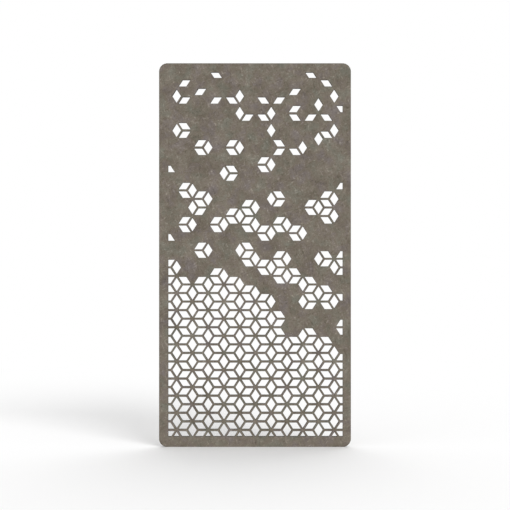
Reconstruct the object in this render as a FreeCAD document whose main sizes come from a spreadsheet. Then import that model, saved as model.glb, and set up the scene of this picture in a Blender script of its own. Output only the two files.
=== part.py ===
import FreeCAD, Part
import math
import os

import Sketcher

# A hanging acoustic screen: two pressed felt boards bonded face to face and cut right through with a
# lattice of rhombi. An aluminium rail is let into the top edge between the boards, and two sprung
# nuts slide in it to take the threaded ends of the hangers.
#
# Frame: the origin is the middle of the top edge, +X runs to the right seen from the front, the
# front face looks along -Y and +Z points up. Lengths are in millimetres.

doc = FreeCAD.newDocument("hanging_screen")

SIZES = {
    # felt panel
    "panel_width": 1200,
    "panel_height": 2400,
    "corner_radius": 52,
    "board_thickness": 12,
    # window in the panel that the rhombi are cut in
    "left_margin": 57,
    "right_margin": 51,
    "top_margin": 57,
    "bottom_margin": 65.5,
    # lattice: side of a rhombus, height of half a row, felt left between holes, and the height of
    # the lowest row of stars above the window's lower edge
    "rhombus_side": 63.9,
    "half_row": 53.6,
    "bar_width": 13,
    "first_row": 39.2,
    # a hole cut down by the window's edge to less than a square of this side is left out
    "smallest_hole": 12,
    # rail: a channel open at the top with a keel below it
    "rail_inset": 66,
    "rail_width": 14,
    "rail_wall": 1.4,
    "rail_lip": 1.8,
    "rail_floor": 1.8,
    "channel_height": 12,
    "slot_width": 8,
    "keel_thickness": 3,
    "keel_height": 28,
    "glue_gap": 0.15,
    # end caps: a flange over the rail's end and a plug in the channel
    "cap_flange": 4,
    "cap_plug": 12,
    "cap_gap": 0.15,
    # dowels through the keel into both boards
    "dowel_count": 7,
    "dowel_diameter": 6,
    "dowel_length": 17,
    "dowel_chamfer": 0.6,
    "dowel_inset": 50,
    # sliding nuts
    "hanger_inset": 200,
    "nut_length": 20,
    "nut_thickness": 4.2,
    "nut_recess": 0.5,
    "nut_gap": 0.2,
    "thread_bore": 5,
    # leaf spring under each nut
    "spring_length": 26,
    "spring_crown": 11,
    "spring_foot": 3,
    "spring_width": 8,
    "spring_strip": 0.5,
    "spring_hole": 7,
    "spring_gap": 0.1,
}

sheet = doc.addObject("Spreadsheet::Sheet", "Sizes")
for line, (alias, value) in enumerate(SIZES.items(), start=1):
    sheet.set("A%d" % line, alias)
    sheet.set("B%d" % line, str(value))
    sheet.setAlias("B%d" % line, alias)
doc.recompute()


def size(alias):
    """The sheet's value for one alias."""
    return float(sheet.get(alias))


# Lengths that follow from the sheet, written as expressions
RAIL_LENGTH = "(Sizes.panel_width - 2 * Sizes.rail_inset - 2 * Sizes.cap_flange)"
SEAT_LENGTH = "(Sizes.panel_width - 2 * Sizes.rail_inset + 2 * Sizes.glue_gap)"
RAIL_HEIGHT = "(Sizes.channel_height + Sizes.keel_height)"
HANGER_X = "(Sizes.panel_width / 2 - Sizes.hanger_inset)"
DOWEL_REACH = "(Sizes.panel_width / 2 - Sizes.rail_inset - Sizes.cap_flange - Sizes.dowel_inset)"
DOWEL_Z = "-(Sizes.channel_height + Sizes.keel_height / 2)"
CHANNEL_HALF = "(Sizes.rail_width / 2 - Sizes.rail_wall)"
CHANNEL_FLOOR = "-(Sizes.channel_height - Sizes.rail_floor)"

# Where the holes are. Columns are counted from the middle one, half rows up from the lowest row of
# stars. A diamond stands in a column; a leaning rhombus lies between a column and the next one.
# The lattice is whole up to its crest: for each column the highest diamond, and for each gap to the
# right of a column the highest leaning rhombus.
DIAMOND_CREST = {-5: 19, -4: 16, -3: 17, -2: 18, -1: 17, 0: 16, 1: 15, 2: 10, 3: 11, 4: 10, 5: 9}
LEANING_CREST = {-6: 19, -5: 17, -4: 17, -3: 18, -2: 17, -1: 16, 0: 15, 1: 13, 2: 10, 3: 11, 4: 10, 5: 8}
LOWEST_HALF_ROW = -1

# Above the crest, cubes come loose: a diamond with the two rhombi on its left or on its right
LEFT_CUBES = [
    (2, 18), (1, 19), (0, 20), (2, 20), (-3, 21), (1, 23), (3, 23), (-4, 24), (-2, 24), (0, 24), (2, 24),
    (-1, 25), (5, 25), (0, 26), (4, 26), (-3, 27), (5, 27), (-4, 28), (1, 31), (-3, 33), (-1, 33), (5, 15),
]
RIGHT_CUBES = [
    (3, 15), (4, 16), (3, 17), (2, 18), (5, 19), (4, 20), (-1, 21), (-4, 26), (1, 27), (-2, 30), (-5, 35),
]
# Higher still, single rhombi are scattered up to the window's upper edge
LONE_DIAMONDS = [
    (3, 33), (4, 34), (1, 35), (5, 35), (-1, 37), (1, 37), (4, 38), (-5, 39), (-1, 39), (5, 39),
]
LONE_LEANING = [
    (5, 11), (5, 12), (5, 15), (5, 20), (-6, 22), (5, 28), (-6, 30), (1, 32), (2, 32), (1, 33), (4, 34),
    (-1, 36), (0, 36), (2, 36), (3, 36), (4, 36), (2, 37), (5, 37), (-5, 38), (-3, 38), (-2, 38), (0, 38),
    (1, 38), (-4, 39), (2, 39), (-5, 40), (4, 40), (-3, 41), (3, 41),
]


def signed_area(corners):
    """Area of a polygon, positive when its corners run anticlockwise."""
    total = 0.0
    for (x1, z1), (x2, z2) in zip(corners, corners[1:] + corners[:1]):
        total += x1 * z2 - x2 * z1
    return total / 2


def inset(corners, distance):
    """The polygon with every side moved inwards by the distance."""
    if signed_area(corners) < 0:
        corners = corners[::-1]
    sides = []
    for (x1, z1), (x2, z2) in zip(corners, corners[1:] + corners[:1]):
        length = math.hypot(x2 - x1, z2 - z1)
        normal_x = -(z2 - z1) / length
        normal_z = (x2 - x1) / length
        sides.append((normal_x, normal_z, normal_x * x1 + normal_z * z1 + distance))
    moved = []
    for (a1, b1, c1), (a2, b2, c2) in zip(sides[-1:] + sides[:-1], sides):
        cross = a1 * b2 - a2 * b1
        moved.append(((c1 * b2 - c2 * b1) / cross, (a1 * c2 - a2 * c1) / cross))
    return moved


def cut_by_line(corners, axis, limit, keep_above):
    """The part of a convex polygon on one side of a line square to the axis (0 for x, 1 for z)."""
    kept = []
    for start, end in zip(corners, corners[1:] + corners[:1]):
        start_in = (start[axis] > limit) == keep_above
        end_in = (end[axis] > limit) == keep_above
        if start_in:
            kept.append(start)
        if start_in != end_in:
            share = (limit - start[axis]) / (end[axis] - start[axis])
            crossing = [start[i] + share * (end[i] - start[i]) for i in (0, 1)]
            crossing[axis] = limit
            kept.append(tuple(crossing))
    return kept


def without_doubles(corners):
    """The corners less any that lie on the one before."""
    kept = []
    for start, end in zip(corners[-1:] + corners[:-1], corners):
        if math.dist(start, end) > 0.001 * size("bar_width"):
            kept.append(end)
    return kept


def hole_outlines():
    """Corners, in x and z, of every hole in the panel."""
    left = -size("panel_width") / 2 + size("left_margin")
    right = size("panel_width") / 2 - size("right_margin")
    top = -size("top_margin")
    bottom = -size("panel_height") + size("bottom_margin")
    side = size("rhombus_side")
    rise = size("half_row")
    run = math.sqrt(side ** 2 - rise ** 2)
    pitch = side + run
    middle = (left + right) / 2
    lowest = bottom + size("first_row")

    def star(column, half_row):
        return middle + column * pitch, lowest + half_row * rise

    def diamond(column, half_row):
        x, z = star(column, half_row)
        return [(x, z - rise), (x + run, z), (x, z + rise), (x - run, z)]

    def leaning(column, half_row):
        rises = (column + half_row) % 2 == 1
        x1, z1 = star(column, half_row if rises else half_row + 1)
        x2, z2 = star(column + 1, half_row + 1 if rises else half_row)
        return [(x1, z1), (x1 + side, z1), (x2, z2), (x2 - side, z2)]

    diamonds = set(LONE_DIAMONDS)
    leanings = set(LONE_LEANING)
    for column, half_row in LEFT_CUBES:
        diamonds.add((column, half_row))
        leanings.update([(column - 1, half_row), (column - 1, half_row - 1)])
    for column, half_row in RIGHT_CUBES:
        diamonds.add((column, half_row))
        leanings.update([(column, half_row), (column, half_row - 1)])
    reach = math.ceil((right - left) / 2 / pitch) + 1
    for column in range(-reach, reach + 1):
        crest = DIAMOND_CREST[min(max(column, min(DIAMOND_CREST)), max(DIAMOND_CREST))]
        for half_row in range(LOWEST_HALF_ROW, crest + 1):
            if (column + half_row) % 2 == 0:
                diamonds.add((column, half_row))
        crest = LEANING_CREST[min(max(column, min(LEANING_CREST)), max(LEANING_CREST))]
        for half_row in range(LOWEST_HALF_ROW, crest + 1):
            leanings.add((column, half_row))

    tiles = [diamond(*place) for place in sorted(diamonds)]
    tiles += [leaning(*place) for place in sorted(leanings)]
    outlines = []
    for tile in tiles:
        hole = inset(tile, size("bar_width") / 2)
        for axis, limit, keep_above in ((0, left, True), (0, right, False), (1, bottom, True), (1, top, False)):
            hole = cut_by_line(hole, axis, limit, keep_above)
        hole = without_doubles(hole)
        if len(hole) > 2 and abs(signed_area(hole)) > size("smallest_hole") ** 2:
            outlines.append(hole)
    return outlines


def block(name, length, width, height, top):
    """A box centred on x and y, with its upper face at the height given; all sizes are expressions."""
    box = doc.addObject("Part::Box", name)
    box.setExpression("Length", length)
    box.setExpression("Width", width)
    box.setExpression("Height", height)
    box.setExpression("Placement.Base.x", "-(%s) / 2" % length)
    box.setExpression("Placement.Base.y", "-(%s) / 2" % width)
    box.setExpression("Placement.Base.z", "(%s) - (%s)" % (top, height))
    return box


def dowel_x(number):
    """Where a dowel stands along the rail, as an expression."""
    return "%s * (2 * %d / (Sizes.dowel_count - 1) - 1)" % (DOWEL_REACH, number)


def cross_pin(name, number, radius, length):
    """A cylinder through the keel, along y, at a dowel's place."""
    pin = doc.addObject("Part::Cylinder", name)
    pin.Placement.Rotation = FreeCAD.Rotation(FreeCAD.Vector(1, 0, 0), -90)
    pin.setExpression("Radius", radius)
    pin.setExpression("Height", length)
    pin.setExpression("Placement.Base.x", dowel_x(number))
    pin.setExpression("Placement.Base.y", "-(%s) / 2" % length)
    pin.setExpression("Placement.Base.z", DOWEL_Z)
    return pin


# Seat that the rail and its dowels take up in the two boards
DOWELS = range(int(round(size("dowel_count"))))
DEEPER = "Sizes.glue_gap + Sizes.glue_gap"
channel_seat = block(
    "channel_seat", SEAT_LENGTH, "Sizes.rail_width + " + DEEPER,
    "Sizes.channel_height + " + DEEPER, "Sizes.glue_gap",
)
keel_seat = block(
    "keel_seat", SEAT_LENGTH, "Sizes.keel_thickness + " + DEEPER,
    RAIL_HEIGHT + " + " + DEEPER, "Sizes.glue_gap",
)
seat_parts = [channel_seat, keel_seat]
for number in DOWELS:
    seat_parts.append(cross_pin(
        "dowel_seat_%d" % number, number,
        "Sizes.dowel_diameter / 2 + Sizes.glue_gap", "Sizes.dowel_length + " + DEEPER,
    ))
rail_seat = doc.addObject("Part::MultiFuse", "rail_seat")
rail_seat.Shapes = seat_parts


def new_body(name):
    """An empty body."""
    return doc.addObject("PartDesign::Body", name)


def new_sketch(body, name, plane):
    """A sketch on one of the body's own origin planes."""
    sketch = body.newObject("Sketcher::SketchObject", name)
    support = [item for item in body.Origin.OriginFeatures if item.Role == plane][0]
    sketch.AttachmentSupport = [(support, "")]
    sketch.MapMode = "FlatFace"
    return sketch


def worked_out(expression):
    """The value of an expression, for a sketch's first drawing."""
    return float(FreeCAD.Units.Quantity(sheet.evalExpression(expression)))


def hold_point(sketch, line, place):
    """Ties the start of a sketch line to two expressions, measured from the sketch's origin."""
    for kind, axis, expression in (("DistanceX", -2, place[0]), ("DistanceY", -1, place[1])):
        if expression == "0":
            sketch.addConstraint(Sketcher.Constraint("PointOnObject", line, 1, axis))
            continue
        value = worked_out(expression)
        number = sketch.addConstraint(Sketcher.Constraint(kind, -1, 1, line, 1, value))
        sketch.setExpression("Constraints[%d]" % number, expression)


def outline(body, name, plane, corners):
    """A closed sketch of straight lines whose corners are pairs of expressions."""
    sketch = new_sketch(body, name, plane)
    points = [FreeCAD.Vector(worked_out(x), worked_out(y), 0) for x, y in corners]
    for start, end in zip(points, points[1:] + points[:1]):
        sketch.addGeometry(Part.LineSegment(start, end), False)
    for line in range(len(points)):
        following = (line + 1) % len(points)
        sketch.addConstraint(Sketcher.Constraint("Coincident", line, 2, following, 1))
    for line, place in enumerate(corners):
        hold_point(sketch, line, place)
    return sketch


def round_hole(body, name, plane, diameter):
    """A sketch of one circle about the sketch's origin."""
    sketch = new_sketch(body, name, plane)
    centre = FreeCAD.Vector(0, 0, 0)
    normal = FreeCAD.Vector(0, 0, 1)
    sketch.addGeometry(Part.Circle(centre, normal, worked_out(diameter) / 2), False)
    sketch.addConstraint(Sketcher.Constraint("Coincident", 0, 3, -1, 1))
    number = sketch.addConstraint(Sketcher.Constraint("Diameter", 0, worked_out(diameter)))
    sketch.setExpression("Constraints[%d]" % number, diameter)
    return sketch


def pad(body, name, sketch, length, midplane=True, reverse=False):
    """The sketch given a thickness, about its plane or to one side of it."""
    feature = body.newObject("PartDesign::Pad", name)
    feature.Profile = sketch
    feature.Midplane = midplane
    feature.Reversed = reverse
    feature.setExpression("Length", length)
    return feature


def through_pocket(body, name, sketch):
    """The sketch cut through the body, both ways from its plane."""
    feature = body.newObject("PartDesign::Pocket", name)
    feature.Profile = sketch
    feature.Type = "ThroughAll"
    feature.Midplane = True
    return feature


def mirrored(corners):
    """Corners on one side of the sketch's upright axis, followed by their mirror images."""
    other_side = []
    for x, y in reversed(corners):
        other_side.append(("0" if x == "0" else "-(%s)" % x, y))
    return corners + other_side


# Felt: a plain board with round corners and the rail's seat routed in its inner face
felt_blank = new_body("felt_blank")
board_outline = outline(felt_blank, "board_outline", "XZ_Plane", mirrored([
    ("Sizes.panel_width / 2", "-Sizes.panel_height"),
    ("Sizes.panel_width / 2", "0"),
]))
board_pad = pad(felt_blank, "board_pad", board_outline, "Sizes.board_thickness", midplane=False)
doc.recompute()
board_corners = felt_blank.newObject("PartDesign::Fillet", "board_corners")
upright = [
    "Edge%d" % number for number, edge in enumerate(board_pad.Shape.Edges, start=1)
    if abs(edge.tangentAt(edge.FirstParameter).y) > 0.5
]
board_corners.Base = (board_pad, upright)
board_corners.setExpression("Radius", "Sizes.corner_radius")
front_blank = doc.addObject("Part::Cut", "front_blank")
front_blank.Base = felt_blank
front_blank.Tool = rail_seat
# the boards are routed as a pair, so the rear one is the front one's mirror image
rear_blank = doc.addObject("Part::Mirroring", "rear_blank")
rear_blank.Source = front_blank
rear_blank.Normal = FreeCAD.Vector(0, 1, 0)
doc.recompute()


def perforated(blank, outlines):
    """The board with a hole for each outline: its two broad faces get the holes, then their walls."""
    loops = []
    for corners in outlines:
        points = [FreeCAD.Vector(x, 0, z) for x, z in corners]
        loops.append(Part.makePolygon(points + points[:1]))
    depth = FreeCAD.Vector(0, 2 * blank.BoundBox.Center.y, 0)
    broad = sorted(blank.Faces, key=lambda face: face.Area)[-2:]
    faces = [face for face in blank.Faces if not any(face.isSame(other) for other in broad)]
    for face in broad:
        level = FreeCAD.Vector(0, face.BoundBox.YMin, 0)
        holes = [loop.translated(level) for loop in loops]
        # the loops run anticlockwise seen from the front, and a hole runs against its face's edge
        if Part.Face(face.OuterWire).normalAt(0, 0).y < 0:
            holes = [hole.reversed() for hole in holes]
        faces.append(Part.Face([face.OuterWire] + holes))
    for loop in loops:
        faces.extend(loop.extrude(depth).Faces)
    skin = Part.Compound(faces)
    skin.sewShape()
    return Part.Solid(skin.Shells[0])


outlines = hole_outlines()
print("holes in the panel:", len(outlines))
front_felt_board = doc.addObject("Part::Feature", "front_felt_board")
front_felt_board.Shape = perforated(front_blank.Shape, outlines)
rear_felt_board = doc.addObject("Part::Feature", "rear_felt_board")
rear_felt_board.Shape = perforated(rear_blank.Shape, outlines)

# Rail: an aluminium extrusion flush with the panel's top edge
suspension_rail = new_body("suspension_rail")
rail_section = outline(suspension_rail, "rail_section", "YZ_Plane", mirrored([
    ("Sizes.keel_thickness / 2", "-" + RAIL_HEIGHT),
    ("Sizes.keel_thickness / 2", "-Sizes.channel_height"),
    ("Sizes.rail_width / 2", "-Sizes.channel_height"),
    ("Sizes.rail_width / 2", "0"),
    ("Sizes.slot_width / 2", "0"),
    ("Sizes.slot_width / 2", "-Sizes.rail_lip"),
    (CHANNEL_HALF, "-Sizes.rail_lip"),
    (CHANNEL_HALF, CHANNEL_FLOOR),
]))
pad(suspension_rail, "rail_length", rail_section, RAIL_LENGTH)
keel_holes = new_sketch(suspension_rail, "keel_holes", "XZ_Plane")
for number in DOWELS:
    x = worked_out(dowel_x(number))
    z = worked_out(DOWEL_Z)
    radius = size("dowel_diameter") / 2 + size("glue_gap")
    keel_holes.addGeometry(Part.Circle(FreeCAD.Vector(x, z, 0), FreeCAD.Vector(0, 0, 1), radius), False)
    for kind, expression, value in (("DistanceX", dowel_x(number), x), ("DistanceY", DOWEL_Z, z)):
        if abs(value) < 1e-9:
            keel_holes.addConstraint(Sketcher.Constraint("PointOnObject", number, 3, -2))
            continue
        row = keel_holes.addConstraint(Sketcher.Constraint(kind, -1, 1, number, 3, value))
        keel_holes.setExpression("Constraints[%d]" % row, expression)
    row = keel_holes.addConstraint(Sketcher.Constraint("Radius", number, radius))
    keel_holes.setExpression("Constraints[%d]" % row, "Sizes.dowel_diameter / 2 + Sizes.glue_gap")
through_pocket(suspension_rail, "keel_hole_cut", keel_holes)


def end_cap(name, sign):
    """A moulded cap whose flange covers the rail's end and whose plug stops the nut in the channel."""
    body = new_body(name)
    plug_half = CHANNEL_HALF + " - Sizes.cap_gap"
    plug = outline(body, name + "_plug_section", "YZ_Plane", mirrored([
        (plug_half, CHANNEL_FLOOR + " + Sizes.cap_gap"),
        (plug_half, "-(Sizes.rail_lip + Sizes.cap_gap)"),
    ]))
    pad(body, name + "_plug", plug, "Sizes.cap_plug", midplane=False, reverse=sign > 0)
    flange = outline(body, name + "_flange_section", "YZ_Plane", mirrored([
        ("Sizes.keel_thickness / 2", "-" + RAIL_HEIGHT),
        ("Sizes.keel_thickness / 2", "-Sizes.channel_height"),
        ("Sizes.rail_width / 2", "-Sizes.channel_height"),
        ("Sizes.rail_width / 2", "0"),
    ]))
    pad(body, name + "_flange", flange, "Sizes.cap_flange", midplane=False, reverse=sign < 0)
    body.setExpression("Placement.Base.x", "%d * %s / 2" % (sign, RAIL_LENGTH))
    return body


left_end_cap = end_cap("left_end_cap", -1)
right_end_cap = end_cap("right_end_cap", 1)


def hanger_nut(name, sign):
    """A steel sliding nut: its flanks run under the rail's lips and its neck stands in the slot."""
    body = new_body(name)
    neck = "Sizes.slot_width / 2 - Sizes.nut_gap"
    flank = CHANNEL_HALF + " - Sizes.nut_gap"
    shoulder = "-(Sizes.rail_lip + Sizes.nut_gap)"
    section = outline(body, name + "_section", "YZ_Plane", mirrored([
        (flank, shoulder + " - Sizes.nut_thickness"),
        (flank, shoulder),
        (neck, shoulder),
        (neck, "-Sizes.nut_recess"),
    ]))
    pad(body, name + "_length", section, "Sizes.nut_length")
    thread = round_hole(body, name + "_thread", "XY_Plane", "Sizes.thread_bore")
    through_pocket(body, name + "_bore", thread)
    body.setExpression("Placement.Base.x", "%d * %s" % (sign, HANGER_X))
    return body


left_hanger_nut = hanger_nut("left_hanger_nut", -1)
right_hanger_nut = hanger_nut("right_hanger_nut", 1)


def nut_spring(name, sign):
    """A bent strip of spring steel that presses the nut up against the lips."""
    body = new_body(name)
    top = "-(Sizes.rail_lip + Sizes.nut_gap + Sizes.nut_thickness + Sizes.spring_gap)"
    under_top = top + " - Sizes.spring_strip"
    floor = CHANNEL_FLOOR + " + Sizes.spring_gap"
    over_floor = floor + " + Sizes.spring_strip"
    crown = "Sizes.spring_crown / 2"
    foot = "Sizes.spring_length / 2 - Sizes.spring_foot"
    end = "Sizes.spring_length / 2"
    strip = outline(body, name + "_strip", "XZ_Plane", mirrored([
        (crown + " - Sizes.spring_strip", under_top),
        (foot + " - Sizes.spring_strip", floor),
        (end, floor),
        (end, over_floor),
        (foot, over_floor),
        (crown, top),
    ]))
    pad(body, name + "_width", strip, "Sizes.spring_width")
    stud_hole = round_hole(body, name + "_stud_hole", "XY_Plane", "Sizes.spring_hole")
    through_pocket(body, name + "_stud_way", stud_hole)
    body.setExpression("Placement.Base.x", "%d * %s" % (sign, HANGER_X))
    return body


left_nut_spring = nut_spring("left_nut_spring", -1)
right_nut_spring = nut_spring("right_nut_spring", 1)

# Dowels: beech pins with chamfered ends, one through each hole in the keel
pins = []
for number in DOWELS:
    pin = cross_pin("dowel_pin_%d" % number, number, "Sizes.dowel_diameter / 2", "Sizes.dowel_length")
    pin.recompute()
    chamfered = doc.addObject("Part::Chamfer", "dowel_%d" % number)
    chamfered.Base = pin
    rims = [i for i, edge in enumerate(pin.Shape.Edges, start=1) if edge.isClosed()]
    chamfered.Edges = [(rim, size("dowel_chamfer"), size("dowel_chamfer")) for rim in rims]
    pins.append(chamfered)
keel_dowels = doc.addObject("Part::Compound", "keel_dowels")
keel_dowels.Links = pins

SUB_PARTS = [
    front_felt_board, rear_felt_board, suspension_rail, left_end_cap, right_end_cap, keel_dowels,
    left_hanger_nut, right_hanger_nut, left_nut_spring, right_nut_spring,
]
doc.recompute()
for item in doc.Objects:
    if "Invalid" in item.State or "Error" in item.State:
        raise RuntimeError("%s failed: %s" % (item.Label, item.State))
for part in SUB_PARTS:
    if part.Shape.isNull() or not part.Shape.isValid():
        raise RuntimeError("%s has no valid shape" % part.Label)

os.makedirs("parts", exist_ok=True)
for part in SUB_PARTS:
    part.Shape.exportStep(os.path.join("parts", part.Label + ".step"))
    box = part.Shape.BoundBox
    print("%-18s solids %d  volume %.0f mm3  x %.1f to %.1f  y %.1f to %.1f  z %.1f to %.1f" % (
        part.Label, len(part.Shape.Solids), part.Shape.Volume,
        box.XMin, box.XMax, box.YMin, box.YMax, box.ZMin, box.ZMax,
    ))
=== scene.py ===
import math

import bpy
import numpy as np
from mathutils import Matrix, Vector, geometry


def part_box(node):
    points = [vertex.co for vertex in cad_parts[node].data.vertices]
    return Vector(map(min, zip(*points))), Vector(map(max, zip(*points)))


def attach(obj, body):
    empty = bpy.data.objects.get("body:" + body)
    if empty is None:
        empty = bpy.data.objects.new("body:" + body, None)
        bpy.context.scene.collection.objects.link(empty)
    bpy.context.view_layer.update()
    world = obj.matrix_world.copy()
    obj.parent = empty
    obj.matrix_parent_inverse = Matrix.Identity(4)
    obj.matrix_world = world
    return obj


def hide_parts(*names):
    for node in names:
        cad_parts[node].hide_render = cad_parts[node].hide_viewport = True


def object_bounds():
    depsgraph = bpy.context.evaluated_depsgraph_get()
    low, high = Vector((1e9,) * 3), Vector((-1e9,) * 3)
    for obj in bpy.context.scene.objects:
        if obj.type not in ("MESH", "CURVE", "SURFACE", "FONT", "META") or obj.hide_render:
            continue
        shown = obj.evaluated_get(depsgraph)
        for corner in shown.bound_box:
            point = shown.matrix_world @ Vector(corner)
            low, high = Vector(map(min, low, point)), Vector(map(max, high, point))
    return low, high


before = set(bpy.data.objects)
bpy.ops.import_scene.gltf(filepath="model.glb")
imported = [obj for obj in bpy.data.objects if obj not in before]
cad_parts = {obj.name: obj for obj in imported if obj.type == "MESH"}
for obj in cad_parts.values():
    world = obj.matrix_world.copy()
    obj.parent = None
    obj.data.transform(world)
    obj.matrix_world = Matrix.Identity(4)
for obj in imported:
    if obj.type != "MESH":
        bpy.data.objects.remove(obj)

cad_low, cad_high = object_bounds()


# Felt panel. Two 12 mm boards of needled and heat-pressed polyester felt are bonded face to face, and
# a hot cutter on a flat bed cuts the outline and all the rhombi through both in one pass. It rolls the
# felt over at each face and leaves a hairline where the boards meet. A narrow margin at every cut edge
# is painted darker, partly for the cutter's sear and partly as painted shade for the shaded hole walls.
MM = 0.001
CORNER_RADIUS = 52 * MM
CORNER_STEPS = 24
# every hole lies at least this far inside the panel's edge
WINDOW_MARGIN = 50 * MM
# the darkened margin at every cut edge, partly sear and partly painted shade, is this wide
SEAR_AND_SHADE_MARGIN = 5 * MM
# at a sharp corner the margin's inner line stays within this many margins, clear of the next hole's
MITRE_LIMIT = 1.7
ROLLED_EDGE = 0.9 * MM
ROLL_ANGLES = np.radians([0, 30, 60, 90])
SEAM_EDGE = 0.45 * MM
# the edge at the seam is broken in two slopes, which meet at this share of it
SEAM_BREAK = 0.3
# the seat routed in both inner faces for the rail, and the blind holes in it for the dowels
GLUE_GAP = 0.15 * MM
SEAT_HALF_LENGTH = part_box("right_end_cap")[1].x + GLUE_GAP
CHANNEL_SEAT_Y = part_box("suspension_rail")[0].y - GLUE_GAP
CHANNEL_SEAT_Z = -12.15 * MM
KEEL_SEAT_Y = -1.65 * MM
KEEL_SEAT_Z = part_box("suspension_rail")[0].z - GLUE_GAP
DOWEL_COUNT = 7
DOWEL_X = np.linspace(-480, 480, DOWEL_COUNT) * MM
DOWEL_Z = -26 * MM
DOWEL_SEAT_RADIUS = 3.15 * MM
DOWEL_SEAT_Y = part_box("keel_dowels")[0].y - GLUE_GAP
DRILL_STEPS = 24
# a CAD node's vertices are in its front face when they lie this near to it, and those whose places
# agree to this many decimals of a metre are one point
FLATNESS = 0.01 * MM
PLACE_DECIMALS = 6
SHARP_ANGLE = math.radians(35)


def node_triangles(node):
    """A CAD node's vertices and its loose triangles, as arrays."""
    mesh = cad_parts[node].data
    mesh.calc_loop_triangles()
    places = np.empty(len(mesh.vertices) * 3)
    mesh.vertices.foreach_get("co", places)
    triangles = np.empty(len(mesh.loop_triangles) * 3, int)
    mesh.loop_triangles.foreach_get("vertices", triangles)
    return places.reshape(-1, 3), triangles.reshape(-1, 3)


def boundary(node):
    """The outline of a node's face that looks along -Y, as points in x and z and, for each point, the next
    one along: an edge is on the outline when no triangle of that face has it the other way round. The
    felt lies to the left of every edge."""
    places, triangles = node_triangles(node)
    in_face = places[:, 1] < places[:, 1].min() + FLATNESS
    triangles = triangles[in_face[triangles].all(axis=1)]
    flat = np.round(places[:, [0, 2]], PLACE_DECIMALS)
    points, same = np.unique(flat, axis=0, return_inverse=True)
    triangles = same.reshape(-1)[triangles]
    edges = triangles[:, [0, 1, 1, 2, 2, 0]].reshape(-1, 2)
    codes = edges @ (len(points), 1)
    edges = edges[~np.isin(codes, edges @ (1, len(points)))]
    following = np.full(len(points), -1)
    following[edges[:, 0]] = edges[:, 1]
    return points, following


def fill(points, after):
    """Triangles, anticlockwise in the plane of the points, between the loop that holds the first point and
    the convex loops inside it, by constrained Delaunay triangulation. Each loop takes the lowest
    number on it as its name, found by doubling the hop along it, and a triangle lies in a hole when
    its three corners are on one loop other than the first."""
    name = np.arange(len(points))
    hop = after
    for doubling in range(len(points).bit_length()):
        name = np.minimum(name, name[hop])
        hop = hop[hop]
    edges = np.stack([np.arange(len(points)), after], axis=1)
    inside_only = 1
    tolerance = 1e-8
    found = geometry.delaunay_2d_cdt(points.tolist(), edges.tolist(), [], inside_only, tolerance)
    triangles = np.array([sources[0] for sources in found[3]])[np.array(found[2])]
    loops = name[triangles]
    return triangles[(loops != loops[:, :1]).any(axis=1) | (loops[:, 0] == 0)]


def drilled_plate(corners, rings, rings_on, ring_start, vertices, axes):
    """Triangles of a flat plate round the holes drilled in it, anticlockwise in the plane of the two axes.
    The plate's four corners are numbers of vertices; the holes' points count on from ring_start."""
    points = np.concatenate([vertices[corners][:, axes], rings])
    after = np.concatenate([[1, 2, 3, 0], rings_on + 4])
    numbers = np.concatenate([corners, ring_start + np.arange(len(rings))])
    return numbers[fill(points, after)]


def dowel_rings():
    """Circles in x and z round every dowel's axis, as points and, for each, the next on its circle."""
    angle = np.arange(DRILL_STEPS) * math.tau / DRILL_STEPS
    circle = DOWEL_SEAT_RADIUS * np.stack([np.cos(angle), np.sin(angle)], axis=1)
    axes = np.stack([DOWEL_X, np.full(DOWEL_COUNT, DOWEL_Z)], axis=1)
    points = (axes[:, None] + circle).reshape(-1, 2)
    numbers = np.arange(len(points)).reshape(DOWEL_COUNT, DRILL_STEPS)
    return points, np.roll(numbers, -1, axis=1).reshape(-1)


def at_depth(points, y):
    """Points in x and z, set at one y."""
    return np.stack([points[:, 0], np.full(len(points), y), points[:, 1]], axis=1)


def add_piece(name, vertices, faces, materials, face_material, body, node):
    """A mesh object from arrays. Its sharp edges stay sharp and the rest shade smoothly; the piece rides on
    a body and stands for a CAD node, which is hidden."""
    mesh = bpy.data.meshes.new(name)
    mesh.from_pydata(vertices.tolist(), [], faces)
    mesh.validate()
    for material in materials:
        mesh.materials.append(material)
    mesh.polygons.foreach_set("material_index", np.asarray(face_material, np.int32))
    mesh.shade_smooth()
    mesh.set_sharp_from_angle(angle=SHARP_ANGLE)
    mesh.update()
    piece = bpy.data.objects.new(name, mesh)
    bpy.context.scene.collection.objects.link(piece)
    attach(piece, body)
    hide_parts(node)
    return piece


def panel_loops():
    """Every outline that the cutter cuts: first the panel's own edge, a rectangle with a quarter circle at
    each corner, which starts with the two ends of the rail seat and runs anticlockwise seen from the
    front; then the holes, as they are in the CAD board. Points, the next point and the one before."""
    low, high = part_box("front_felt_board")
    centre = np.array([low.x + high.x, low.z + high.z]) / 2
    half = np.array([high.x - low.x, high.z - low.z]) / 2
    quarter = np.array([[1], [2], [3], [0]])
    signs = np.array([[-1, 1], [-1, -1], [1, -1], [1, 1]])
    angle = (quarter + np.linspace(0, 1, CORNER_STEPS + 1)) * math.pi / 2
    arcs = CORNER_RADIUS * np.stack([np.cos(angle), np.sin(angle)], axis=-1)
    arcs += (centre + (half - CORNER_RADIUS) * signs)[:, None]
    seat_ends = np.array([[SEAT_HALF_LENGTH, high.z], [-SEAT_HALF_LENGTH, high.z]])
    edge = np.concatenate([seat_ends, arcs.reshape(-1, 2)])
    points, following = boundary("front_felt_board")
    in_window = (np.abs(points - centre) < half - WINDOW_MARGIN).all(axis=1)
    kept = np.flatnonzero(in_window & (following >= 0))
    renumbered = np.full(len(points), -1)
    renumbered[kept] = np.arange(len(kept)) + len(edge)
    after = np.concatenate([np.roll(np.arange(len(edge)), -1), renumbered[following[kept]]])
    before = np.empty_like(after)
    before[after] = np.arange(len(after))
    return np.concatenate([edge, points[kept]]), after, before


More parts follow.
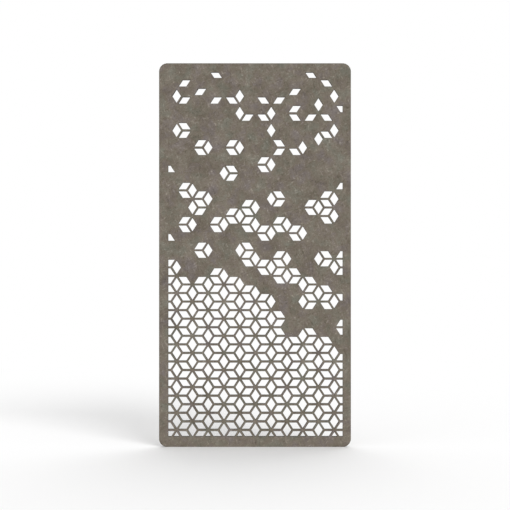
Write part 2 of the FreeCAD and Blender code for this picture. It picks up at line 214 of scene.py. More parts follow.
def edge_profile():
    """The cut edge across the front board, from its outer face to the seam: how far each point steps into
    the felt, and its y. A quarter circle rolls over to the face and two slopes run to the seam."""
    low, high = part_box("front_felt_board")
    steps = np.concatenate([
        [SEAR_AND_SHADE_MARGIN], ROLLED_EDGE * (1 - np.sin(ROLL_ANGLES)),
        [0, 0, 0, SEAM_BREAK * SEAM_EDGE, SEAM_EDGE],
    ])
    levels = np.concatenate([
        [low.y], low.y + ROLLED_EDGE * (1 - np.cos(ROLL_ANGLES)),
        [CHANNEL_SEAT_Y, KEEL_SEAT_Y, high.y - SEAM_EDGE, high.y - SEAM_BREAK * SEAM_EDGE, high.y],
    ])
    return steps, levels


def felt_board():
    """Vertices and faces of the front board, which faces are cut edges, and how far each vertex is darkened
    by the sear and painted shade at the cut edges.
    The edge's profile is carried along every loop; at a corner it steps along the bisector, further
    by one over the cosine of half the turn. Both broad faces are filled, and the rail seat is let
    into the top edge and the inner face."""
    points, after, before = panel_loops()
    steps, levels = edge_profile()
    count = len(points)
    along = points[after] - points
    along /= np.linalg.norm(along, axis=1, keepdims=True)
    into = np.stack([-along[:, 1], along[:, 0]], axis=1)
    bisector = into + into[before]
    bisector /= 1 + (into * into[before]).sum(axis=1, keepdims=True)
    mitre = np.linalg.norm(bisector, axis=1, keepdims=True)
    limited = bisector * np.minimum(1, MITRE_LIMIT / mitre)
    step = steps[:, None, None]
    rings = points + step * np.where(step > ROLLED_EDGE, limited, bisector)
    depth = np.broadcast_to(levels[:, None], rings.shape[:2])
    vertices = np.stack([rings[..., 0], depth, rings[..., 1]], axis=-1).reshape(-1, 3)
    level, here = np.meshgrid(np.arange(len(levels) - 1), np.arange(count), indexing="ij")
    walls = np.stack([
        level * count + here, (level + 1) * count + here,
        (level + 1) * count + after[here], level * count + after[here],
    ], axis=-1)
    # the mouth of the seat is the edge from the first point to the second, from the channel's level on
    channel_level = len(ROLL_ANGLES) + 1
    solid = (here != 0) | (level < channel_level)
    rolled = level < channel_level - 1
    front = fill(rings[0], after)

    # seat: the channel's step, the keel's step, the keel's foot and the foot at the seam, each at its
    # right end and then at its left
    first = len(vertices)
    seat = np.array([
        [end, y, z]
        for y, z in (
            (CHANNEL_SEAT_Y, CHANNEL_SEAT_Z), (KEEL_SEAT_Y, CHANNEL_SEAT_Z),
            (KEEL_SEAT_Y, KEEL_SEAT_Z), (levels[-1], KEEL_SEAT_Z),
        )
        for end in (SEAT_HALF_LENGTH, -SEAT_HALF_LENGTH)
    ])
    rim = [number * count for number in range(channel_level, len(levels))]
    seat_faces = [
        [first, first + 1, rim[0] + 1, rim[0]],
        [first + 2, first + 3, first + 1, first],
        [first + 6, first + 7, first + 5, first + 4],
        rim + [first + 6, first + 4, first + 2, first],
        [number + 1 for number in rim[::-1]] + [first + 1, first + 3, first + 5, first + 7],
    ]
    # the inner face's outer loop goes round the foot of the seat
    foot = [first + 6, first + 7]
    inner_points = np.concatenate([rings[-1], seat[-2:, [0, 2]]])
    inner_numbers = np.concatenate([rim[-1] + np.arange(count), foot])
    inner = inner_numbers[fill(inner_points, np.concatenate([[count], after[1:], [count + 1, 1]]))]

    # blind dowel holes in the keel's step: a circle at the mouth and one at the bottom of each
    circles, circles_on = dowel_rings()
    mouth = first + len(seat)
    bottom = mouth + len(circles)
    vertices = np.concatenate([
        vertices, seat, at_depth(circles, KEEL_SEAT_Y), at_depth(circles, DOWEL_SEAT_Y),
    ])
    keel_corners = np.array([first + 2, first + 3, first + 5, first + 4])
    plate = drilled_plate(keel_corners, circles, circles_on, mouth, vertices, [0, 2])
    around = np.arange(len(circles))
    hole_walls = np.stack([
        mouth + around, bottom + around, bottom + circles_on, mouth + circles_on,
    ], axis=1)
    hole_floors = (bottom + around).reshape(DOWEL_COUNT, DRILL_STEPS)[:, ::-1]

    pressed, opened = 0, 1
    groups = [
        (walls[solid & rolled], pressed), (walls[solid & ~rolled], opened), (front, pressed),
        (inner[:, ::-1], pressed), (plate[:, ::-1], opened), (hole_walls, opened), (hole_floors, opened),
    ]
    faces = [face for group, _ in groups for face in group.tolist()] + seat_faces
    cut = [np.full(len(group), kind) for group, kind in groups] + [np.full(len(seat_faces), opened)]
    # all vertices but the margin's inner line on the face take the full sear and painted shade
    sear_and_shade = np.ones(len(vertices))
    sear_and_shade[:count] = 0
    return vertices, faces, np.concatenate(cut), sear_and_shade


board_vertices, board_faces, cut_faces, sear_and_shade = felt_board()

# a Mix node's sockets for colours go by number: the share, the two colours, and the result
MIX_SHARE, MIX_FROM, MIX_TO, MIXED = 0, 6, 7, 2


def hex_colour(code):
    """A six-digit sRGB hex colour as linear red, green, blue and alpha."""
    srgb = np.array([int(code[i:i + 2], 16) for i in (1, 3, 5)]) / 255
    linear = np.where(srgb <= 0.04045, srgb / 12.92, ((srgb + 0.055) / 1.055) ** 2.4)
    return (*linear.tolist(), 1.0)


def add_node(tree, kind, inputs, **settings):
    """Adds a node, sets its properties, and gives each named or numbered input a value or a link."""
    node = tree.nodes.new("ShaderNode" + kind)
    for name, value in settings.items():
        setattr(node, name, value)
    for name, value in inputs.items():
        if isinstance(value, bpy.types.NodeSocket):
            tree.links.new(value, node.inputs[name])
        else:
            node.inputs[name].default_value = value
    return node


def new_material(name, **numbers):
    """An empty node material: its tree, its Principled shader with the uniform numbers set, and where the
    surface is in object space. An input's name has its spaces written as underscores."""
    material = bpy.data.materials.new(name)
    material.use_nodes = True
    tree = material.node_tree
    shader = tree.nodes["Principled BSDF"]
    for socket, value in numbers.items():
        shader.inputs[socket.replace("_", " ")].default_value = value
    place = tree.nodes.new("ShaderNodeTexCoord").outputs["Object"]
    return material, tree, shader, place


def connect(tree, shader, **outputs):
    """Links patterns to the shader's inputs, with their names written as for a new material."""
    for socket, output in outputs.items():
        tree.links.new(output, shader.inputs[socket.replace("_", " ")])


def per_mm(size):
    """The scale of a pattern whose features are that many millimetres across."""
    return 1 / (size * MM)


# Needled polyester felt, pressed between hot plates. Brown, umber-grey and olive-grey staple is carded
# together, so the face is clouded in soft patches and short tufts, with no gloss. Single fibres are
# drawn 0.8 mm wide, far coarser than the real 0.03 mm, so that they show.
# how the sear and painted shade at cut edges falls away from the edge, and how dark it is at the edge
SEAR_AND_SHADE_FALL = 3
SEAR_AND_SHADE_STRENGTH = 0.45
# how far the staple's lie wanders, how deep a tuft is, and a fibre's length, depth and width
SWIRL_REACH = 30 * MM
TUFT_DEPTH = 9 * MM
FIBRE_SIZE = (14 * MM, 3 * MM, 0.8 * MM)
felt_face, tree, shader, place = new_material(
    "pressed_polyester_felt", Roughness=0.95, IOR=1.5, Specular_IOR_Level=0.2, Sheen_Weight=0.12,
    Sheen_Roughness=0.6,
)
clouds = add_node(tree, "TexNoise", {
    "Vector": place, "Scale": per_mm(110), "Detail": 5, "Roughness": 0.68,
}).outputs["Fac"]
browner = add_node(tree, "MapRange", {"Value": clouds, "From Min": 0.34, "From Max": 0.5})
greener = add_node(tree, "MapRange", {"Value": clouds, "From Min": 0.48, "From Max": 0.66})
brown = add_node(tree, "Mix", {
    MIX_SHARE: browner.outputs["Result"], MIX_FROM: hex_colour("#716965"), MIX_TO: hex_colour("#72695d"),
}, data_type="RGBA")
carded = add_node(tree, "Mix", {
    MIX_SHARE: greener.outputs["Result"], MIX_FROM: brown.outputs[MIXED], MIX_TO: hex_colour("#6f6d62"),
}, data_type="RGBA")
# each row of tones is a pattern, the span of it that counts, and the tone at the span's two ends:
# slow swings first, then steep tufts of 9 by 28 mm and slanting ones of 8 by 24 mm, and last the fibres
shades = add_node(tree, "TexNoise", {
    "Vector": place, "Scale": per_mm(140), "Detail": 7, "Roughness": 0.67,
})
tones = [(shades.outputs["Fac"], 0.3, 0.7, 0.77, 1.23)]
swirl = add_node(tree, "TexNoise", {"Vector": place, "Scale": per_mm(60), "Detail": 1})
bent = add_node(tree, "VectorMath", {
    0: swirl.outputs["Color"], 1: (SWIRL_REACH, SWIRL_REACH, SWIRL_REACH), 2: place,
}, operation="MULTIPLY_ADD").outputs["Vector"]
for length, width, turn in ((28 * MM, 9 * MM, 70), (24 * MM, 8 * MM, 155)):
    lie = add_node(tree, "Mapping", {
        "Vector": bent, "Rotation": (0, math.radians(turn), 0), "Scale": (length, TUFT_DEPTH, width),
    }, vector_type="TEXTURE")
    tuft = add_node(tree, "TexNoise", {
        "Vector": lie.outputs["Vector"], "Scale": 1, "Detail": 2,
    }).outputs["Fac"]
    tones += [(tuft, 0.3, 0.7, 0.94, 1.06), (tuft, 0.62, 0.76, 1, 1.5), (tuft, 0.38, 0.24, 1, 0.7)]
# single fibres lie every way; the uppermost catch the light and the gaps between them are dark
fibres = []
for turn in (20, 65, 110, 155):
    lie = add_node(tree, "Mapping", {
        "Vector": bent, "Rotation": (0, math.radians(turn), 0), "Scale": FIBRE_SIZE,
    }, vector_type="TEXTURE")
    fibres.append(add_node(tree, "TexNoise", {
        "Vector": lie.outputs["Vector"], "Scale": 1, "Detail": 1,
    }).outputs["Fac"])
upper = lower = fibres[0]
for fibre in fibres[1:]:
    upper = add_node(tree, "Math", {0: upper, 1: fibre}, operation="MAXIMUM").outputs["Value"]
    lower = add_node(tree, "Math", {0: lower, 1: fibre}, operation="MINIMUM").outputs["Value"]
tones += [(upper, 0.6, 0.8, 0.97, 1.36), (lower, 0.4, 0.2, 1.03, 0.64)]
tone = 1
for pattern, span_start, span_end, tone_start, tone_end in tones:
    swing = add_node(tree, "MapRange", {
        "Value": pattern, "From Min": span_start, "From Max": span_end,
        "To Min": tone_start, "To Max": tone_end,
    }).outputs["Result"]
    tone = add_node(tree, "Math", {0: tone, 1: swing}, operation="MULTIPLY").outputs["Value"]
toned = add_node(tree, "Mix", {
    MIX_SHARE: 1, MIX_FROM: carded.outputs[MIXED], MIX_TO: tone,
}, data_type="RGBA", blend_type="MULTIPLY")
# the palest staple took the least dye
dye = add_node(tree, "MapRange", {
    "Value": tone, "From Min": 0.5, "From Max": 1.5, "To Min": 1.2, "To Max": 0.8,
})
dyed = add_node(tree, "HueSaturation", {
    "Color": toned.outputs[MIXED], "Saturation": dye.outputs["Result"],
})
# the last millimetres before every cut edge are darkened, most at the edge itself: partly the cutter's
# sear, partly painted shade for the shaded walls of the holes
sear_and_shade_attribute = add_node(tree, "Attribute", {}, attribute_name="sear_and_shade")
nearness = add_node(tree, "Math", {0: sear_and_shade_attribute.outputs["Fac"], 1: SEAR_AND_SHADE_FALL}, operation="POWER")
sear_and_shade_part = add_node(tree, "Math", {
    0: nearness.outputs["Value"], 1: SEAR_AND_SHADE_STRENGTH,
}, operation="MULTIPLY")
finished = add_node(tree, "Mix", {
    MIX_SHARE: sear_and_shade_part.outputs["Value"], MIX_FROM: dyed.outputs["Color"], MIX_TO: hex_colour("#3d3d3c"),
}, data_type="RGBA")
nap = add_node(tree, "TexNoise", {"Vector": place, "Scale": per_mm(1.6), "Detail": 3, "Roughness": 0.65})
relief = add_node(tree, "Math", {0: upper, 1: nap.outputs["Fac"]}, operation="ADD")
bump = add_node(tree, "Bump", {
    "Height": relief.outputs["Value"], "Strength": 0.6, "Distance": 0.6 * MM,
})
connect(tree, shader, Base_Color=finished.outputs[MIXED], Normal=bump.outputs["Normal"])

# The same felt where the cutter has opened it: cut fibre ends stand out as fine grains in thin layers.
# Its colours are darker than the pressed face, partly for the seared fibre ends and partly as painted
# shade for the walls inside the holes.
shaded_felt_edge, tree, shader, place = new_material(
    "hot_cut_felt_painted_shade", Roughness=1.0, IOR=1.5, Specular_IOR_Level=0.15,
)
lie = add_node(tree, "Mapping", {
    "Vector": place, "Scale": (per_mm(6), per_mm(0.9), per_mm(6)),
}, vector_type="POINT")
layers = add_node(tree, "TexNoise", {
    "Vector": lie.outputs["Vector"], "Scale": 1, "Detail": 2, "Roughness": 0.6,
})
ends = add_node(tree, "TexNoise", {"Vector": place, "Scale": per_mm(0.9), "Detail": 2, "Roughness": 0.6})
# plain numbers are mixed through sockets 2 and 3
grain = add_node(tree, "Mix", {
    MIX_SHARE: 0.6, 2: layers.outputs["Fac"], 3: ends.outputs["Fac"],
}).outputs[0]
depth = add_node(tree, "MapRange", {"Value": grain, "From Min": 0.34, "From Max": 0.66})
# both colours lie well below the pressed face: partly sear, partly painted shade of the hole walls
layered = add_node(tree, "Mix", {
    MIX_SHARE: depth.outputs["Result"], MIX_FROM: hex_colour("#403d39"), MIX_TO: hex_colour("#6a655f"),
}, data_type="RGBA")
bump = add_node(tree, "Bump", {"Height": grain, "Strength": 0.7, "Distance": 0.6 * MM})
connect(tree, shader, Base_Color=layered.outputs[MIXED], Normal=bump.outputs["Normal"])

front_panel = add_piece(
    "front_felt_panel", board_vertices, board_faces, [felt_face, shaded_felt_edge], cut_faces,
    "panel", "front_felt_board",
)
# the rear board is the front one's mirror image, so its faces run the other way round
rear_panel = add_piece(
    "rear_felt_panel", board_vertices * [1, -1, 1], [face[::-1] for face in board_faces],
    [felt_face, shaded_felt_edge], cut_faces, "panel", "rear_felt_board",
)
for panel in (front_panel, rear_panel):
    panel.data.attributes.new("sear_and_shade", "FLOAT", "POINT").data.foreach_set("value", sear_and_shade)


# Suspension rail. An extruded aluminium channel with a keel under it is glued into the seat between the
# boards, flush with the top edge; its lips leave an 8 mm slot for the nuts. It is sawn to length,
# deburred, drilled through the keel for the dowels and satin anodised.
RAIL_LOW, RAIL_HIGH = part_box("suspension_rail")
KEEL_HALF = 1.5 * MM
SLOT_HALF = 4 * MM
CHANNEL_HALF = 5.6 * MM
LIP_Z = -1.8 * MM
CHANNEL_FLOOR_Z = -10.2 * MM
CHANNEL_FOOT_Z = -12 * MM
RAIL_ROUNDING = 0.35 * MM
DEBURR = 0.2 * MM
ROUNDING_POINTS = 4


def both_halves(right):
    """A section's corners in y and z, from those of its right half and their mirror image."""
    return np.concatenate([right, right[::-1] * [-1, 1]])


def rounded(corners, setback):
    """A polygon with each corner replaced by points of a parabola, which starts and ends the setback along
    the corner's two sides and has the corner as its control point."""
    back = np.roll(corners, 1, axis=0) - corners
    on = np.roll(corners, -1, axis=0) - corners
    start = corners + setback * back / np.linalg.norm(back, axis=1, keepdims=True)
    end = corners + setback * on / np.linalg.norm(on, axis=1, keepdims=True)
    t = np.linspace(0, 1, ROUNDING_POINTS)[None, :, None]
    curve = (1 - t) ** 2 * start[:, None] + 2 * t * (1 - t) * corners[:, None] + t ** 2 * end[:, None]
    return curve.reshape(-1, 2)


def swept(section, reach, chamfer, drilled_corners):
    """A rounded section in y and z, anticlockwise seen from +X, carried along x from minus to plus the
    reach and drawn in by a chamfer at both ends, along the bisectors of its corners. The long sides
    that follow the corners named are left open, for a drilled plate. Vertices, faces with both ends
    closed, and the four corners of each open side."""
    count = len(section)
    stations = np.array([-reach, chamfer - reach, reach - chamfer, reach])
    insets = np.array([chamfer, 0, 0, chamfer])
    along = np.roll(section, -1, axis=0) - section
    along /= np.linalg.norm(along, axis=1, keepdims=True)
    into = np.stack([-along[:, 1], along[:, 0]], axis=1)
    before = np.roll(into, 1, axis=0)
    bisector = (into + before) / (1 + (into * before).sum(axis=1, keepdims=True))
    rings = section + insets[:, None, None] * bisector
    x = np.broadcast_to(stations[:, None, None], rings.shape[:2] + (1,))
    vertices = np.concatenate([x, rings], axis=-1).reshape(-1, 3)
    span, here = np.meshgrid(np.arange(len(stations) - 1), np.arange(count), indexing="ij")
    after = (here + 1) % count
    walls = np.stack([
        span * count + here, span * count + after, (span + 1) * count + after, (span + 1) * count + here,
    ], axis=-1)
    # a corner's last point starts the long side after it, which is open in the middle span
    starts = (np.array(drilled_corners) + 1) * ROUNDING_POINTS - 1
    kept = (span != 1) | ~np.isin(here, starts)
    last_ring = (len(stations) - 1) * count
    ends = [list(range(count))[::-1], list(range(last_ring, last_ring + count))]
    finishes = (starts + 1) % count
    sides = np.stack([count + starts, 2 * count + starts, 2 * count + finishes, count + finishes], axis=1)
    return vertices, walls[kept].tolist() + ends, sides


rail_section = rounded(both_halves(np.array([
    [KEEL_HALF, RAIL_LOW.z], [KEEL_HALF, CHANNEL_FOOT_Z], [RAIL_HIGH.y, CHANNEL_FOOT_Z],
    [RAIL_HIGH.y, RAIL_HIGH.z], [SLOT_HALF, RAIL_HIGH.z], [SLOT_HALF, LIP_Z], [CHANNEL_HALF, LIP_Z],
    [CHANNEL_HALF, CHANNEL_FLOOR_Z],
])), RAIL_ROUNDING)
# the keel's rear side rises from the section's first corner, and its front side falls to the last
rail_vertices, rail_faces, (keel_rear, keel_front) = swept(rail_section, RAIL_HIGH.x, DEBURR, [0, 14])
drilled, drilled_on = dowel_rings()
front_ring = len(rail_vertices)
rear_ring = front_ring + len(drilled)
rail_vertices = np.concatenate([
    rail_vertices, at_depth(drilled, -KEEL_HALF), at_depth(drilled, KEEL_HALF),
])
front_plate = drilled_plate(keel_front, drilled, drilled_on, front_ring, rail_vertices, [0, 2])
rear_plate = drilled_plate(keel_rear, drilled, drilled_on, rear_ring, rail_vertices, [0, 2])
around = np.arange(len(drilled))
drill_walls = np.stack([
    front_ring + around, front_ring + drilled_on, rear_ring + drilled_on, rear_ring + around,
], axis=1)
rail_faces += front_plate.tolist() + rear_plate[:, ::-1].tolist() + drill_walls.tolist()

# Satin anodised aluminium: pale cool grey metal with the die's faint lines along the bar. The lines are
# drawn 0.5 mm apart, coarser than the real ones, so that they show.
anodised, tree, shader, place = new_material("satin_anodised_aluminium", Metallic=1.0)
die_lie = add_node(tree, "Mapping", {
    "Vector": place, "Scale": (per_mm(600), per_mm(0.5), per_mm(0.5)),
}, vector_type="POINT")
die_lines = add_node(tree, "TexNoise", {
    "Vector": die_lie.outputs["Vector"], "Scale": 1, "Detail": 3, "Roughness": 0.6,
}).outputs["Fac"]
die_tone = add_node(tree, "Mix", {
    MIX_SHARE: die_lines, MIX_FROM: hex_colour("#b9bbbe"), MIX_TO: hex_colour("#d6d7d8"),
}, data_type="RGBA")
die_gloss = add_node(tree, "MapRange", {"Value": die_lines, "To Min": 0.3, "To Max": 0.5})
die_bump = add_node(tree, "Bump", {"Height": die_lines, "Strength": 0.3, "Distance": 0.03 * MM})
connect(
    tree, shader, Base_Color=die_tone.outputs[MIXED], Roughness=die_gloss.outputs["Result"],
    Normal=die_bump.outputs["Normal"],
)
add_piece(
    "rail_extrusion", rail_vertices, rail_faces, [anodised], np.zeros(len(rail_faces)),
    "panel", "suspension_rail",
)


# Sliding nuts. Each is a steel bar milled to a T: the flanks run under the rail's lips and the neck stands
# in the slot. It is drilled, countersunk on both faces and tapped M6, then zinc plated.
NECK_HALF = 3.8 * MM
SHOULDER_Z = -2.0 * MM
NUT_ROUNDING = 0.3 * MM
NUT_CHAMFER = 0.35 * MM
THREAD_PITCH = 1.0 * MM
THREAD_MINOR = 2.5 * MM
THREAD_DEPTH = 0.52 * MM
# share of each flank's run that is flat at the crest, and as much at the root
THREAD_FLAT = 0.1
COUNTERSINK = 3.25 * MM
ROUND_STEPS = 48
BORE_STEPS = 60


def tapped_bore(top, bottom):
    """Vertices of the bore on a grid of turn and height: the radius is the larger of the countersinks,
    cones of 45 degrees at both mouths, and a right-hand thread whose flat-topped ridge climbs one pitch
    a turn. Row by row from the upper mouth."""
    turn = np.arange(ROUND_STEPS) * math.tau / ROUND_STEPS
    z = np.linspace(top, bottom, BORE_STEPS + 1)[:, None]
    climb = np.mod(z / THREAD_PITCH - turn / math.tau, 1)
    ridge = np.clip((np.abs(2 * climb - 1) - THREAD_FLAT) / (1 - 2 * THREAD_FLAT), 0, 1)
    cone = COUNTERSINK - np.minimum(top - z, z - bottom)
    radius = np.maximum(THREAD_MINOR + THREAD_DEPTH * ridge, cone)
    grid = np.stack([radius * np.cos(turn), radius * np.sin(turn), z + 0 * radius], axis=-1)
    return grid.reshape(-1, 3)


def tapped_nut(low, high):
    """The T section carried along x with chamfered ends, its top and bottom filled round the bore's mouths,
    between the lowest and highest corners of the nut's box."""
    section = rounded(both_halves(np.array([
        [high.y, low.z], [high.y, SHOULDER_Z], [NECK_HALF, SHOULDER_Z], [NECK_HALF, high.z],
    ])), NUT_ROUNDING)
    # the top follows the neck's rear corner, and the bottom the section's last corner
    vertices, faces, (top, bottom) = swept(section, (high.x - low.x) / 2, NUT_CHAMFER, [3, 7])
    first = len(vertices)
    bore = tapped_bore(high.z, low.z)
    row, here = np.meshgrid(np.arange(BORE_STEPS), np.arange(ROUND_STEPS), indexing="ij")
    on = (here + 1) % ROUND_STEPS
    walls = first + np.stack([
        row * ROUND_STEPS + here, row * ROUND_STEPS + on,
        (row + 1) * ROUND_STEPS + on, (row + 1) * ROUND_STEPS + here,
    ], axis=-1).reshape(-1, 4)
    ring_on = on[0]
    last_row = first + BORE_STEPS * ROUND_STEPS
    upper = drilled_plate(top, bore[:ROUND_STEPS, :2], ring_on, first, vertices, [0, 1])
    lower = drilled_plate(bottom, bore[-ROUND_STEPS:, :2], ring_on, last_row, vertices, [0, 1])
    faces += walls.tolist() + upper.tolist() + lower[:, ::-1].tolist()
    return np.concatenate([vertices, bore]) + [(low.x + high.x) / 2, 0, 0], faces


# Zinc plate, clear passivated: a bluish grey metal clouded with straw, duller where the plate is thick.
zinc, tree, shader, place = new_material("passivated_zinc_plate", Metallic=1.0)
bloom = add_node(tree, "TexNoise", {
    "Vector": place, "Scale": per_mm(6), "Detail": 4, "Roughness": 0.6,
}).outputs["Fac"]
bloom_part = add_node(tree, "MapRange", {"Value": bloom, "From Min": 0.35, "From Max": 0.65})
zinc_tone = add_node(tree, "Mix", {
    MIX_SHARE: bloom_part.outputs["Result"], MIX_FROM: hex_colour("#a9b0b8"), MIX_TO: hex_colour("#cbc6b4"),
}, data_type="RGBA")
zinc_gloss = add_node(tree, "MapRange", {"Value": bloom, "To Min": 0.22, "To Max": 0.45})
connect(tree, shader, Base_Color=zinc_tone.outputs[MIXED], Roughness=zinc_gloss.outputs["Result"])
for side in ("left", "right"):
    node_low, node_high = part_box(side + "_hanger_nut")
    nut_vertices, nut_faces = tapped_nut(node_low, node_high)
    add_piece(
        side + "_tapped_nut", nut_vertices, nut_faces, [zinc], np.zeros(len(nut_faces)),
        side + "_nut", side + "_hanger_nut",
    )


# End caps, springs and dowels. The caps are injection moulded in black nylon and pushed into the rail's
# ends; a bent strip of blued spring steel under each nut holds it up against the lips; beech dowels
# pin the keel to both boards. Each has its CAD solid's shape, with the edges softened.
CAP_EDGE = 0.3 * MM
SPRING_EDGE = 0.12 * MM
DOWEL_EDGE = 0.1 * MM
SOFTENED_ANGLE = math.radians(40)


def softened(name, node, finish, width, body):
    """A piece with a node's shape: a copy of its triangles with the vertices that share a place merged, and
    its sharp edges rounded by a bevel of that width."""
    places, triangles = node_triangles(node)
    points, same = np.unique(np.round(places, PLACE_DECIMALS), axis=0, return_inverse=True)
    triangles = same.reshape(-1)[triangles]
    piece = add_piece(
        name, points, triangles.tolist(), [finish], np.zeros(len(triangles)), body, node,
    )
    bevel = piece.modifiers.new("edges", "BEVEL")
    bevel.width = width
    bevel.segments = 2
    bevel.limit_method = "ANGLE"
    bevel.angle_limit = SOFTENED_ANGLE
    bevel.harden_normals = True


# Black nylon from a spark-eroded mould: nearly black, with an even fine grain that breaks up the shine.
nylon, tree, shader, place = new_material("moulded_black_nylon", IOR=1.53)
spark = add_node(tree, "TexNoise", {
    "Vector": place, "Scale": per_mm(0.5), "Detail": 2, "Roughness": 0.6,
}).outputs["Fac"]
nylon_tone = add_node(tree, "Mix", {
    MIX_SHARE: spark, MIX_FROM: hex_colour("#161617"), MIX_TO: hex_colour("#2b2b2c"),
}, data_type="RGBA")
nylon_gloss = add_node(tree, "MapRange", {"Value": spark, "To Min": 0.42, "To Max": 0.62})
nylon_bump = add_node(tree, "Bump", {"Height": spark, "Strength": 0.4, "Distance": 0.04 * MM})
connect(
    tree, shader, Base_Color=nylon_tone.outputs[MIXED], Roughness=nylon_gloss.outputs["Result"],
    Normal=nylon_bump.outputs["Normal"],
)

# Blued spring steel: dark slate blue, finely brushed along the strip before tempering.
blued, tree, shader, place = new_material("blued_spring_steel", Metallic=1.0)
brush_lie = add_node(tree, "Mapping", {
    "Vector": place, "Scale": (per_mm(12), per_mm(0.25), per_mm(12)),
}, vector_type="POINT")
brush = add_node(tree, "TexNoise", {
    "Vector": brush_lie.outputs["Vector"], "Scale": 1, "Detail": 3, "Roughness": 0.6,
}).outputs["Fac"]
blued_tone = add_node(tree, "Mix", {
    MIX_SHARE: brush, MIX_FROM: hex_colour("#3a4352"), MIX_TO: hex_colour("#6a7482"),
}, data_type="RGBA")
blued_gloss = add_node(tree, "MapRange", {"Value": brush, "To Min": 0.25, "To Max": 0.45})
connect(tree, shader, Base_Color=blued_tone.outputs[MIXED], Roughness=blued_gloss.outputs["Result"])

# Turned beech: pinkish tan with short darker rays, its grain along the pin, sanded and unfinished.
beech, tree, shader, place = new_material("turned_beech", Roughness=0.65)
ray_lie = add_node(tree, "Mapping", {
    "Vector": place, "Scale": (per_mm(0.6), per_mm(3.5), per_mm(0.6)),
}, vector_type="POINT")
rays = add_node(tree, "TexNoise", {
    "Vector": ray_lie.outputs["Vector"], "Scale": 1, "Detail": 3, "Roughness": 0.55,
}).outputs["Fac"]
ray_part = add_node(tree, "MapRange", {"Value": rays, "From Min": 0.4, "From Max": 0.7})
beech_tone = add_node(tree, "Mix", {
    MIX_SHARE: ray_part.outputs["Result"], MIX_FROM: hex_colour("#cda77c"), MIX_TO: hex_colour("#a67c54"),
}, data_type="RGBA")
beech_bump = add_node(tree, "Bump", {"Height": rays, "Strength": 0.3, "Distance": 0.05 * MM})
connect(tree, shader, Base_Color=beech_tone.outputs[MIXED], Normal=beech_bump.outputs["Normal"])

for side in ("left", "right"):
    softened(side + "_moulded_cap", side + "_end_cap", nylon, CAP_EDGE, "panel")
    softened(side + "_leaf_spring", side + "_nut_spring", blued, SPRING_EDGE, side + "_nut")
softened("beech_dowels", "keel_dowels", beech, DOWEL_EDGE, "panel")


# Floor and room. The panel hangs with its lower edge at a matt white floor in a white room, lit by a broad
# even glow, a soft key from the front right and another from high behind, so its shadow falls both ways.
FLOOR_RADIUS = 14.0
FLOOR_STEPS = 96
# from the first distance to the second, the floor's paint goes over into the white of the room
FLOOR_FADE = (2.4, 5.5)
ROOM_GLOW = 0.565
# each lamp's strength, and in degrees its softness, its tilt from overhead and its turn
LAMPS = {"key": (1.5, 34, 56, 32), "back": (0.85, 50, 33, 167)}
STRIP_LENGTH = 1.3
STRIP_HEIGHT = 0.04
STRIP_POWER = 0.18
STRIP_DISTANCE = 0.22
STRIP_LIFT = 0.03

floor_turn = np.arange(FLOOR_STEPS) * math.tau / FLOOR_STEPS
floor_rim = np.stack([np.cos(floor_turn), np.sin(floor_turn), 0 * floor_turn], axis=1) * FLOOR_RADIUS
floor_mesh = bpy.data.meshes.new("floor")
floor_mesh.from_pydata((floor_rim + [0, 0, cad_low.z]).tolist(), [], [list(range(FLOOR_STEPS))])
floor = bpy.data.objects.new("floor", floor_mesh)
bpy.context.scene.collection.objects.link(floor)


def seen_ray(tree):
    """One for a ray from the camera, or one that metal or glass sends on; nought for the light itself."""
    ray = add_node(tree, "LightPath", {})
    mirrored = {0: ray.outputs["Is Camera Ray"], 1: ray.outputs["Is Glossy Ray"]}
    shown = add_node(tree, "Math", mirrored, operation="ADD")
    sent_on = {0: shown.outputs["Value"], 1: ray.outputs["Is Transmission Ray"]}
    return add_node(tree, "Math", sent_on, operation="ADD", use_clamp=True).outputs["Value"]


# Matt white floor paint, which away from the panel goes over into the white of the room.
floor_paint, tree, shader, place = new_material("matt_white_floor", Roughness=0.9, Specular_IOR_Level=0.0)
shader.inputs["Base Color"].default_value = hex_colour("#f9f9f9")
white = add_node(tree, "Emission", {"Color": (1, 1, 1, 1), "Strength": 1.0})
level = add_node(tree, "VectorMath", {0: place, 1: (1, 1, 0)}, operation="MULTIPLY")
away = add_node(tree, "VectorMath", {0: level.outputs["Vector"]}, operation="LENGTH")
fade = add_node(tree, "MapRange", {
    "Value": away.outputs["Value"], "From Min": FLOOR_FADE[0], "From Max": FLOOR_FADE[1],
}, interpolation_type="SMOOTHSTEP")
whitened = add_node(tree, "Math", {0: fade.outputs["Result"], 1: seen_ray(tree)}, operation="MULTIPLY")
surface = add_node(tree, "MixShader", {
    0: whitened.outputs["Value"], 1: shader.outputs["BSDF"], 2: white.outputs["Emission"],
})
tree.links.new(surface.outputs["Shader"], tree.nodes["Material Output"].inputs["Surface"])
floor_mesh.materials.append(floor_paint)

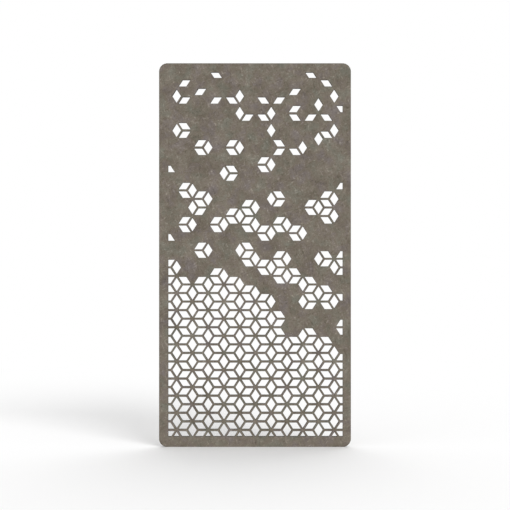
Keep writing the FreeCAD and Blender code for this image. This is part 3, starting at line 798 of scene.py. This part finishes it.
world = bpy.data.worlds.new("white_room")
bpy.context.scene.world = world
world.use_nodes = True
tree = world.node_tree
glow = add_node(tree, "MapRange", {"Value": seen_ray(tree), "To Min": ROOM_GLOW, "To Max": 1.0})
tree.nodes["Background"].inputs["Color"].default_value = (1, 1, 1, 1)
tree.links.new(glow.outputs["Result"], tree.nodes["Background"].inputs["Strength"])

for name, (energy, softness, tilt, turn) in LAMPS.items():
    lamp_data = bpy.data.lights.new(name, "SUN")
    lamp_data.energy = energy
    lamp_data.angle = math.radians(softness)
    lamp = bpy.data.objects.new(name, lamp_data)
    lamp.rotation_euler = (math.radians(tilt), 0, math.radians(turn))
    bpy.context.scene.collection.objects.link(lamp)

# a low strip at the foot gives the front felt alone the light that the shaded floor there takes from it
strip_data = bpy.data.lights.new("foot_strip", "AREA")
strip_data.shape = "RECTANGLE"
strip_data.size = STRIP_LENGTH
strip_data.size_y = STRIP_HEIGHT
strip_data.energy = STRIP_POWER
strip = bpy.data.objects.new("foot_strip", strip_data)
strip.location = (0, cad_low.y - STRIP_DISTANCE, cad_low.z + STRIP_LIFT)
strip.rotation_euler = (math.radians(90), 0, 0)
strip.visible_camera = False
strip.visible_glossy = False
lit_by_strip = bpy.data.collections.new("lit_by_foot_strip")
lit_by_strip.objects.link(front_panel)
strip.light_linking.receiver_collection = lit_by_strip
bpy.context.scene.collection.objects.link(strip)


# Camera. It looks straight at the panel from 7.5 m, a hair above its middle, and its picture is as wide
# as the view's width at the panel's face.
CAMERA_DISTANCE = 7.5
CAMERA_LIFT = 0.5 * MM
VIEW_WIDTH = 3.190
SENSOR_WIDTH = 36
camera_data = bpy.data.cameras.new("camera")
camera_data.sensor_width = SENSOR_WIDTH
camera_data.lens = SENSOR_WIDTH * CAMERA_DISTANCE / VIEW_WIDTH
camera_data.clip_end = 100
camera = bpy.data.objects.new("camera", camera_data)
camera_z = (cad_low.z + cad_high.z) / 2 + CAMERA_LIFT
camera.location = (0.0, cad_low.y - CAMERA_DISTANCE, camera_z)
camera.rotation_euler = (math.radians(90), 0, 0)
bpy.context.scene.collection.objects.link(camera)
bpy.context.scene.camera = camera
bpy.context.scene.view_settings.view_transform = "Standard"
